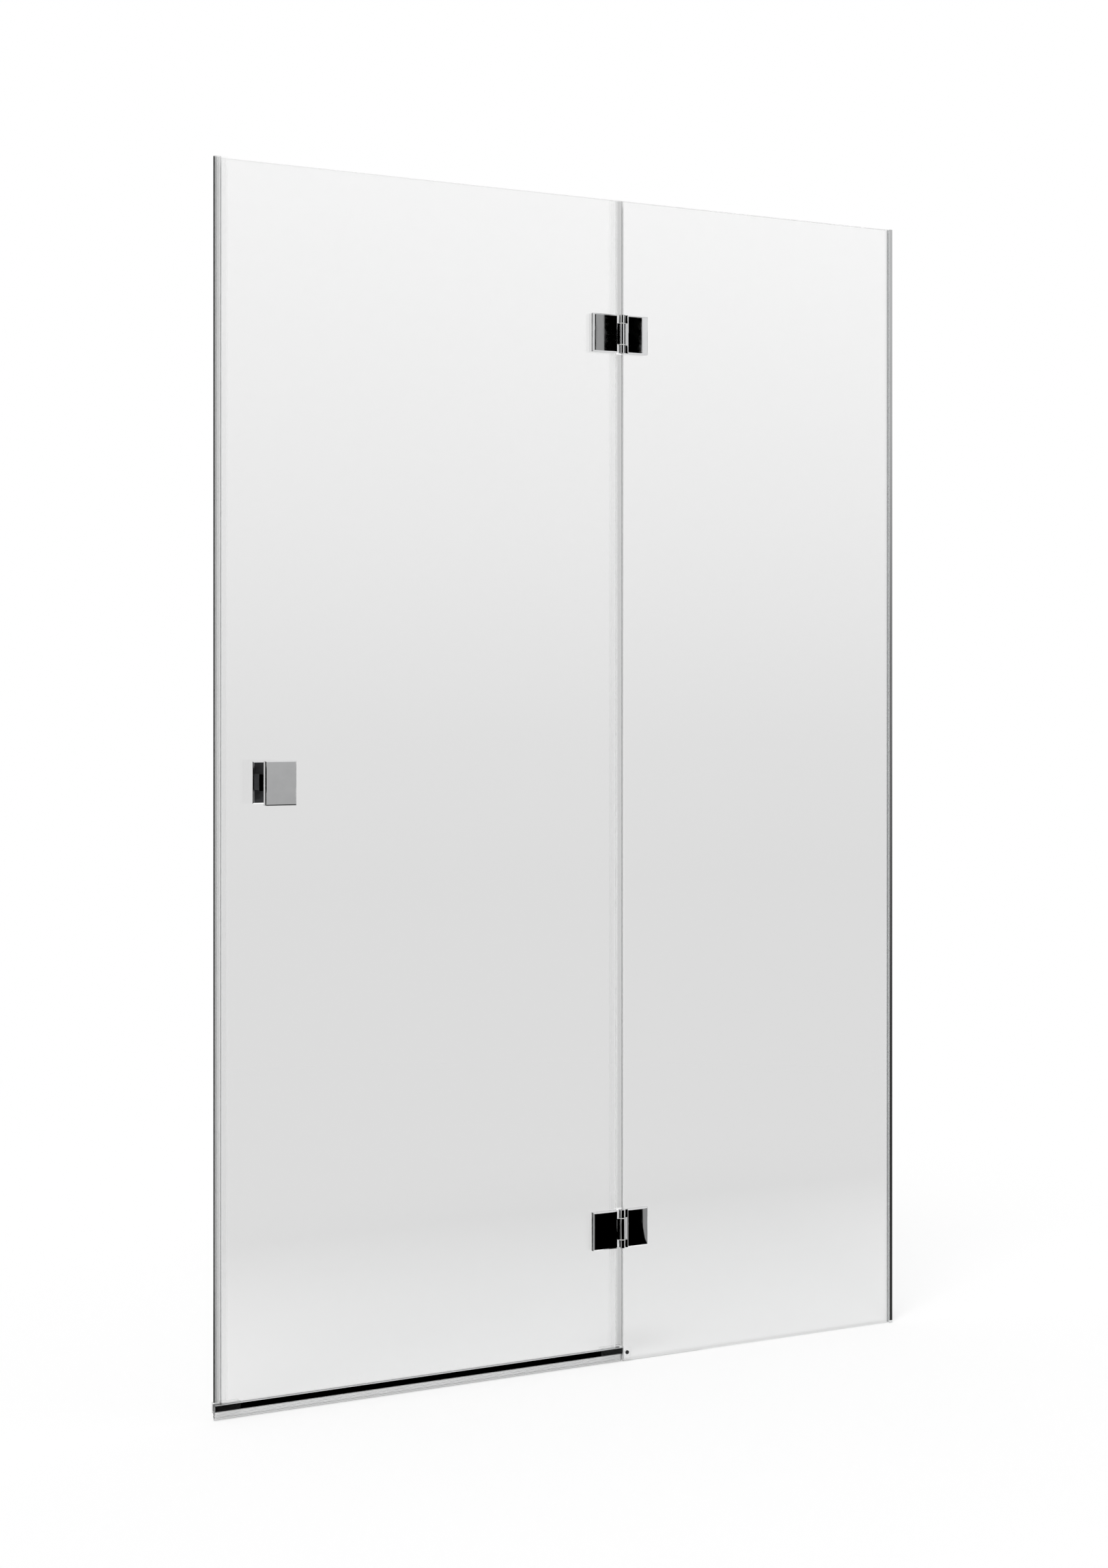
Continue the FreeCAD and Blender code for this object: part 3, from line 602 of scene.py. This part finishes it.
# BOTTOM RAIL: a chromed aluminium extrusion pushed on the door's lower edge over a soft strip.
# A clear ribbed wiper hangs in its lower slot, and a clear moulded cap closes each end.
RAIL_EASE, CAP_EASE = 0.4 * MM, 0.3 * MM
WIPER_START, WIPER_LENGTH = -1284.0, 727.0
WIPER_HEAD = [(2.9, 16.6), (2.9, 15.3), (1.4, 15.3), (1.4, 13.95)]
WIPER_FLANGE = [(5.2, 13.95), (5.45, 13.7), (5.45, 13.25), (5.2, 13.0), (3.0, 13.0), (3.0, 10.3)]
WIPER_LIP = [(1.0, 0.7), (0.8, 0.5)]
RIB_ROOT, RIB_REACH, RIB_HALF, RIB_STEPS = 3.0, 1.0, 0.8, 10
RIB_LEVELS, BELOW_RIB, WEB_HALVES = (9.2, 5.2), 1.6, (2.6, 1.9)
LYING_LINES = (LINES_ALONG, LINES_ACROSS, LINES_ACROSS)
LYING_PVC = (PVC_ALONG, LINES_ACROSS, LINES_ACROSS)
MOULDED = (60, 60, 60)
eased_copy(
    "bottom_rail", "door", RAIL_EASE,
    plated_extrusion("chromed_rail", LYING_LINES), "polished_chrome",
)
dress("rail_bedding", SILICONE)


def wiper_section(x):
    """Outline of the wiper: a T head in the rail's slot, a flange, round ribs and a thin lip."""
    half = WIPER_HEAD + WIPER_FLANGE
    turns = [math.pi / 2 - math.pi * i / RIB_STEPS for i in range(RIB_STEPS + 1)]
    for level, web in zip(RIB_LEVELS, WEB_HALVES):
        half += [
            (RIB_ROOT + RIB_REACH * math.cos(t), level + RIB_HALF * math.sin(t)) for t in turns
        ]
        half.append((web, level - BELOW_RIB))
    half += WIPER_LIP
    return [(x, y, z) for y, z in half] + [(x, -y, z) for y, z in reversed(half)]


WIPER_PVC = clear_pvc(
    "clear_pvc_lying", LYING_PVC, density=0.12, edge_density=0.8, falloff=1.5
)
strip("wiper", wiper_section(WIPER_START), (WIPER_LENGTH, 0, 0), WIPER_PVC, "bottom_sweep")
CLEAR_CAP = clear_pvc(
    "clear_moulding", MOULDED, density=0.004, edge_density=0.6, falloff=4.0
)
for name in ("rail_cap_left", "rail_cap_right"):
    eased_copy(name, "door", CAP_EASE, CLEAR_CAP, "clear_pvc")


# CORNER CLIP: a clear moulded clip over the fixed pane's lower free corner.
# It carries a small black rubber bumper, pressed in.
CLIP_EDGE_EASE = 0.2 * MM
BUMPER_FOOT = Vector((-548.0, -5.0, 15.0)) * MM
BUMPER_RADIUS, BUMPER_HEIGHT, BUMPER_RIM = 3.2 * MM, 2.0 * MM, 0.9 * MM
BUMPER_SIDES, RIM_STEPS = 32, 6
RUBBER_TONES = (0.012, 0.012, 0.012), (0.03, 0.03, 0.03)


def domed_stud():
    """A low stud with a rounded rim, standing on its foot and looking along -Y."""
    steps = [(BUMPER_RADIUS, 0.0)]
    for i in range(RIM_STEPS + 1):
        t = math.pi / 2 * i / RIM_STEPS
        out = BUMPER_RADIUS - BUMPER_RIM * (1 - math.cos(t))
        steps.append((out, BUMPER_HEIGHT - BUMPER_RIM * (1 - math.sin(t))))
    turns = around(BUMPER_SIDES)
    return turned_shape([
        [BUMPER_FOOT + Vector((out * math.cos(t), -rise, out * math.sin(t))) for t in turns]
        for out, rise in steps
    ])


eased_copy("corner_clip", "fixed_screen", CLIP_EDGE_EASE, CLEAR_CAP, "clear_pvc")
RUBBER = patterned(
    "black_rubber", POLISH, gloss=(0.55, 0.8), tones=RUBBER_TONES, relief=(0.3, 0.05 * MM),
    Cloud_Size=0.4 * MM,
)
new_piece("bumper", domed_stud(), RUBBER, "fixed_screen", "black_rubber", "corner_bumper")


# HANDLE: a plated pull of three blocks outside, drawn against a flat plate inside by one screw.
# Thin clear washers and a sleeve keep the metal off the drilled glass.
# The back face's roughness is its dull finish; its near black tone is painted shade.
BACK_SHADE_TONE, DULL_ROUGHNESS = (0.12, 0.12, 0.125, 1), 0.3
BACK_STARTS, BACK_FULL = 0.8, 0.95
HANDLE_SCREW_HEAD, HANDLE_SCREW = (-1194.0, 10.0, 984.0), 35.0


def dull_shaded_back(name):
    """Chrome that is polished all round but rough on the face that looks to the glass, where a
    painted shade of near black darkens it.
    """
    material = CHROME.copy()
    material.name = name
    tree = material.node_tree
    shader = tree.nodes["Principled BSDF"]
    facing = tree.nodes["Texture Coordinate"].outputs["Normal"]
    across = add(tree, "ShaderNodeSeparateXYZ", Vector=facing).outputs
    back = between(tree, across["Y"], BACK_STARTS, BACK_FULL)
    polish = shader.inputs["Roughness"].links[0].from_socket
    bright = shader.inputs["Base Color"].links[0].from_socket
    fill(tree, shader, {
        "Roughness": between(tree, back, 0.0, 1.0, polish, DULL_ROUGHNESS),
        "Base_Color": blend(tree, back, bright, BACK_SHADE_TONE),
    })
    return material


for name in ("handle_rose", "handle_neck", "handle_inner_plate"):
    eased_copy(name, "door", METAL_EASE, CHROME, "polished_chrome")
DULL_SHADED_BACK = dull_shaded_back("chrome_satin_back")
eased_copy("handle_plate", "door", METAL_EASE, DULL_SHADED_BACK, "polished_chrome")
dress("handle_washers", SILICONE)
dress("handle_sleeve", NYLON)
screw_set("handle_fixing", "door", "handle_screw", [HANDLE_SCREW_HEAD], HANDLE_SCREW)
dress("handle_grub_screw", STEEL)


# CAMERA: level, a little above the middle of the front and to the left of the door.
# Its picture is shifted, not tilted, so that the uprights stay upright.
camera_data = bpy.data.cameras.new("camera")
camera_data.lens = 58.12
camera_data.sensor_width = 36.0
camera_data.shift_y = -0.0577
camera = bpy.data.objects.new("camera", camera_data)
camera.location = (-2.701, -3.679, 1.1224)
camera.rotation_euler = Vector((0.4805, 0.8770, 0.0)).to_track_quat("-Z", "Y").to_euler()
bpy.context.scene.collection.objects.link(camera)
bpy.context.scene.camera = camera
bpy.context.scene.view_settings.view_transform = "Standard"


# STUDIO: a plain pale floor in an even white surround, with one large soft lamp.
# Dark, grey and pale cards stand where polished metal and glass would mirror only white.
WHITE = (1, 1, 1, 1)
SURROUND_LIGHT, LAMP_LIGHT, LAMP_SPREAD = 0.55, 2.1, math.radians(25)
LAMP_WAY = Vector((0.45, 0.55, -1.0))
FLOOR_TONE = (0.92, 0.92, 0.92, 1)
FLOOR_LEVEL, FLOOR_REACH = -0.001, 60
TO_FRONT_MIDDLE = (0.65, 0.0, 0.0)
SHADOW_REACH, WHITE_REACH, SHADOW_GLOW = 0.8, 3.5, 0.5


def seen_white(tree):
    """1 for the rays that show the background to the eye, straight or in metal and glass."""
    rays = tree.nodes.new("ShaderNodeLightPath").outputs
    straight = reckon(tree, "MAXIMUM", rays["Is Camera Ray"], rays["Is Glossy Ray"])
    return reckon(tree, "MAXIMUM", straight, rays["Is Transmission Ray"])


world = bpy.data.worlds.new("white_surround")
bpy.context.scene.world = world
world.use_nodes = True
sky = world.node_tree
fill(sky, sky.nodes["Background"], {
    "Color": WHITE,
    "Strength": between(sky, seen_white(sky), 0.0, 1.0, SURROUND_LIGHT, 1.0),
})


def lying(x0, x1, y0, y1, level):
    """Corners of a flat sheet on the floor."""
    return [(x0, y0, level), (x1, y0, level), (x1, y1, level), (x0, y1, level)]


def flat_panel(name, corners, material):
    """A flat sheet of the studio, which is no part of the object."""
    mesh = bpy.data.meshes.new(name)
    mesh.from_pydata([tuple(c) for c in corners], [], [tuple(range(len(corners)))])
    mesh.materials.append(material)
    panel = bpy.data.objects.new(name, mesh)
    bpy.context.scene.collection.objects.link(panel)
    return panel


def softened(socket):
    """Lets a change from range to range start and end slowly."""
    socket.node.interpolation_type = "SMOOTHSTEP"
    return socket


def pale_floor():
    """White to the eye far off; near the object half of its light is the lamp's, for the shadow."""
    material, tree, shader, where = blank_material("pale_floor")
    fill(tree, shader, {"Roughness": 1.0, "Base_Color": FLOOR_TONE, "Specular_IOR_Level": 0.0})
    glow = add(tree, "ShaderNodeEmission", Color=WHITE, Strength=1.0)
    middle = add(tree, "ShaderNodeVectorMath", _0=where["Object"], _1=TO_FRONT_MIDDLE)
    middle.operation = "ADD"
    away = add(tree, "ShaderNodeVectorMath", _0=middle.outputs[0])
    away.operation = "LENGTH"
    own = between(tree, away.outputs["Value"], SHADOW_REACH, WHITE_REACH, SHADOW_GLOW, 1.0)
    either(tree, reckon(tree, "MULTIPLY", seen_white(tree), softened(own)), shader, glow)
    return material


floor = lying(-FLOOR_REACH, FLOOR_REACH, -FLOOR_REACH, FLOOR_REACH, FLOOR_LEVEL)
flat_panel("floor", floor, pale_floor())

lamp = bpy.data.lights.new("soft_lamp", "SUN")
lamp.energy = LAMP_LIGHT
lamp.angle = LAMP_SPREAD
lamp_object = bpy.data.objects.new("soft_lamp", lamp)
lamp_object.rotation_euler = LAMP_WAY.to_track_quat("-Z", "Y").to_euler()
lamp_object.visible_glossy = False
lamp_object.visible_transmission = False
bpy.context.scene.collection.objects.link(lamp_object)


# CARDS: flat stage sheets that only polished surfaces mirror, some for metal and some for glass.
# Metal blurs what it mirrors a little and glass not at all, which tells their rays apart.
BACK_Y, BEHIND_Y, OFF_GLASS_Y = -4.3, 3.0, -0.02
ONCE = 0.5
JUST_OFF = 0.001


def hang_card(name, corners, material, colour, seen_in):
    """Hangs a card that glows for the rays that may see it and is clear for all others."""
    tree = material.node_tree
    rays = tree.nodes.new("ShaderNodeLightPath").outputs
    mirrored = reckon(tree, "GREATER_THAN", rays["Glossy Depth"], ONCE)
    if seen_in == "metal":
        seen = reckon(tree, "SUBTRACT", mirrored, rays["Is Singular Ray"])
    elif seen_in == "glass":
        seen = reckon(tree, "MULTIPLY", mirrored, rays["Is Singular Ray"])
    else:
        through = reckon(tree, "GREATER_THAN", rays["Transmission Depth"], ONCE)
        seen = reckon(tree, "MULTIPLY", mirrored, through)
    glow = add(tree, "ShaderNodeEmission", Color=colour)
    either(tree, seen, tree.nodes.new("ShaderNodeBsdfTransparent"), glow)
    card = flat_panel(name, corners, material)
    card.visible_camera = False
    card.visible_diffuse = False
    card.visible_shadow = False
    card.visible_transmission = seen_in != "metal"


def plain_card(name, corners, tone, seen_in="metal"):
    """A card of one tone."""
    hang_card(name, corners, blank_material(name)[0], (tone, tone, tone, 1), seen_in)


def graded_card(name, corners, axis, tones, seen_in, ends=()):
    """A card that goes from tone to tone along one axis, and to white past its ends.

    Tones are pairs of a place and a tone. An end is a slope, which gives a line X + slope * Y,
    and the values on that line where white starts and is full.
    """
    material, tree, _, where = blank_material(name)
    place = add(tree, "ShaderNodeSeparateXYZ", Vector=where["Object"]).outputs
    first, last = tones[0][0], tones[-1][0]
    ramp = add(tree, "ShaderNodeValToRGB", Fac=between(tree, place[axis], first, last))
    stops = ramp.color_ramp.elements
    while len(stops) < len(tones):
        stops.new(0.5)
    for stop, (spot, tone) in zip(stops, tones):
        stop.position = (spot - first) / (last - first)
        stop.color = (tone, tone, tone, 1)
    colour = ramp.outputs["Color"]
    for slope, start, full in ends:
        line = reckon(tree, "MULTIPLY_ADD", place["Y"], slope, place["X"])
        colour = blend(tree, softened(between(tree, line, start, full)), colour, WHITE)
    hang_card(name, corners, material, colour, seen_in)


def standing(start, end, height):
    """Corners of an upright card over a line on the floor."""
    return [(*start, 0), (*end, 0), (*end, height), (*start, height)]


def patch(across0, across1, z0, z1):
    """Four places on a face of the object."""
    return [(across0, z0), (across1, z0), (across1, z1), (across0, z1)]


def mirrored_in(spot, flip, line_y, level):
    """Where the camera's sight line ends after a face that looks along one axis.

    That is over a line at one depth, or on the floor where it comes down before that line.
    """
    spot = Vector(spot) * MM
    ray = spot - camera.location
    ray[flip] = -ray[flip]
    reach = (line_y - spot.y) / ray.y
    if ray.z < 0:
        reach = min(reach, (level - spot.z) / ray.z)
    return spot + ray * reach


def front_corners(y, spots, off, level):
    """Corners of a card for a face that looks outwards, by places on that face."""
    return [mirrored_in((x, y, z), 1, BACK_Y + off, level) for x, z in spots]


def side_corners(x, spots):
    """Corners of a card for a face that looks to the left, by places on that face."""
    return [mirrored_in((x, y, z), 0, BEHIND_Y, JUST_OFF) for y, z in spots]


# PANE CARDS: one upright and one on the floor, which only the glass mirrors.
# They are pale above and near the door, grey between, and white past both ends.
GLASS_BACK_Y, FAR, GLASS_HIGH, ON_FLOOR = BACK_Y - 0.05, 9.0, 4.2, 2e-4
glass_ends = [(0.734, 0.05, 1.0), (0.385, -1.335, -2.3)]
up_tones = [(0.0, 0.2), (0.45, 0.22), (0.95, 0.55), (1.7, 1.6), (2.4, 2.4), (3.0, 3.1)]
up_tones.append((GLASS_HIGH, 1.0))
floor_tones = [(GLASS_BACK_Y, 0.2), (-1.15, 0.2), (-0.6, 1.5), (OFF_GLASS_Y, 2.4)]
glass_back = standing((-FAR, GLASS_BACK_Y), (FAR, GLASS_BACK_Y), GLASS_HIGH)
glass_floor = lying(-FAR, FAR, GLASS_BACK_Y, OFF_GLASS_Y, ON_FLOOR)
graded_card("glass_back", glass_back, "Z", up_tones, "glass", glass_ends)
graded_card("glass_floor", glass_floor, "Y", floor_tones, "glass", glass_ends)

# METAL CARDS: one upright and one on the floor, which only polished metal mirrors.
# The handle's face shows the grey one, and the lower leaves show the dark floor.
METAL_HIGH, METAL_LEFT = 3.0, 0.25
back_tones = [(0.0, 0.35), (0.9, 0.57), (1.5, 0.65), (2.2, 1.0), (METAL_HIGH, 1.0)]
dark_tones = [(BACK_Y, 0.35), (-1.6, 0.0), (OFF_GLASS_Y, 0.0)]
metal_back = standing((METAL_LEFT, BACK_Y), (3.4, BACK_Y), METAL_HIGH)
metal_floor = [(-1.4, BACK_Y, 0), (3.3, BACK_Y, 0), (0.04, OFF_GLASS_Y, 0), (-1.4, OFF_GLASS_Y, 0)]
graded_card("metal_back", metal_back, "Z", back_tones, "metal")
graded_card("metal_floor", metal_floor, "Y", dark_tones, "metal")

# SMALL CARDS: one for each face of a leaf or of the channel that needs a tone of its own.
# Their corners are found from places on that face, which the camera sees them in.
LEAF_FRONT_Y, CHANNEL_FRONT_Y, LEAF_END_X = -13, -6.3, -617
UPPER_ROW, UPPER_SIDE, LOWER_SIDE = (1685, 1765), (1690, 1760), (190, 260)
SIDE_ROW = -12, -4
CHANNEL_ROW, CHANNEL_FOOT, CHANNEL_TURN, CHANNEL_TOP = (-12, 6), 5, 604, 1960
FURTHER, NEARER = 0.02, 0.03
upper_dark = front_corners(LEAF_FRONT_Y, patch(-625, -523.3, *UPPER_ROW), FURTHER, FURTHER)
plain_card("upper_hinge_dark", upper_dark, tone=0.0)
upper_grey = front_corners(LEAF_FRONT_Y, patch(-612.5, -597, *UPPER_ROW), NEARER, NEARER)
plain_card("upper_hinge_grey", upper_grey, tone=0.42)
lower_curve = [(-522, 262), (-505, 262), (-505, 190), (-511, 190), (-517.5, 205), (-521.5, 225)]
lower_grey = front_corners(LEAF_FRONT_Y, lower_curve, JUST_OFF, JUST_OFF)
plain_card("lower_hinge_grey", lower_grey, tone=0.33)
lower_part = patch(*CHANNEL_ROW, CHANNEL_TURN, CHANNEL_FOOT)
edge_low = front_corners(CHANNEL_FRONT_Y, lower_part, JUST_OFF, JUST_OFF)
plain_card("wall_edge_low", edge_low, tone=0.04)
upper_part = patch(*CHANNEL_ROW, CHANNEL_TURN, CHANNEL_TOP)
edge_high = front_corners(CHANNEL_FRONT_Y, upper_part, FURTHER, JUST_OFF)
edge_tones = [(0.0, 0.04), (0.42, 0.07), (1.2, 0.2), (2.15, 0.48), (3.0, 0.7)]
graded_card("wall_edge_high", edge_high, "Z", edge_tones, "metal")
behind_glass = "metal through glass"
upper_side = side_corners(LEAF_END_X, patch(*SIDE_ROW, *UPPER_SIDE))
plain_card("upper_hinge_side", upper_side, tone=0.45, seen_in=behind_glass)
lower_side = side_corners(LEAF_END_X, patch(*SIDE_ROW, *LOWER_SIDE))
plain_card("lower_hinge_side", lower_side, tone=0.0, seen_in=behind_glass)

# SIDE CARDS: dark ones to both sides, behind the camera and on the floor.
# Bevels, knuckles and the rail mirror them.
LEFT_X, RIGHT_X = -4.8, 5.0
CAMERA_SIDE_HIGH, UNDER_DOOR_LEVEL = 2.6, 3e-4
camera_side = standing((LEFT_X, BACK_Y), (METAL_LEFT, BACK_Y), CAMERA_SIDE_HIGH)
plain_card("camera_side", camera_side, tone=0.0)
left_side = standing((LEFT_X, -1.7), (LEFT_X, BEHIND_Y), METAL_HIGH)
plain_card("left_side", left_side, tone=0.0)
right_side = standing((RIGHT_X, BACK_Y), (RIGHT_X, 1.0), METAL_HIGH)
plain_card("right_side", right_side, tone=0.05)
plain_card("left_floor_grey", lying(-1.9, -1.1, -0.75, -0.35, JUST_OFF), tone=0.4)
plain_card("left_floor_dark", lying(-2.0, -1.36, -0.35, 0.59, JUST_OFF), tone=0.0)
plain_card("under_door", lying(-1.35, -0.4, OFF_GLASS_Y, 0.1, UNDER_DOOR_LEVEL), tone=0.0)
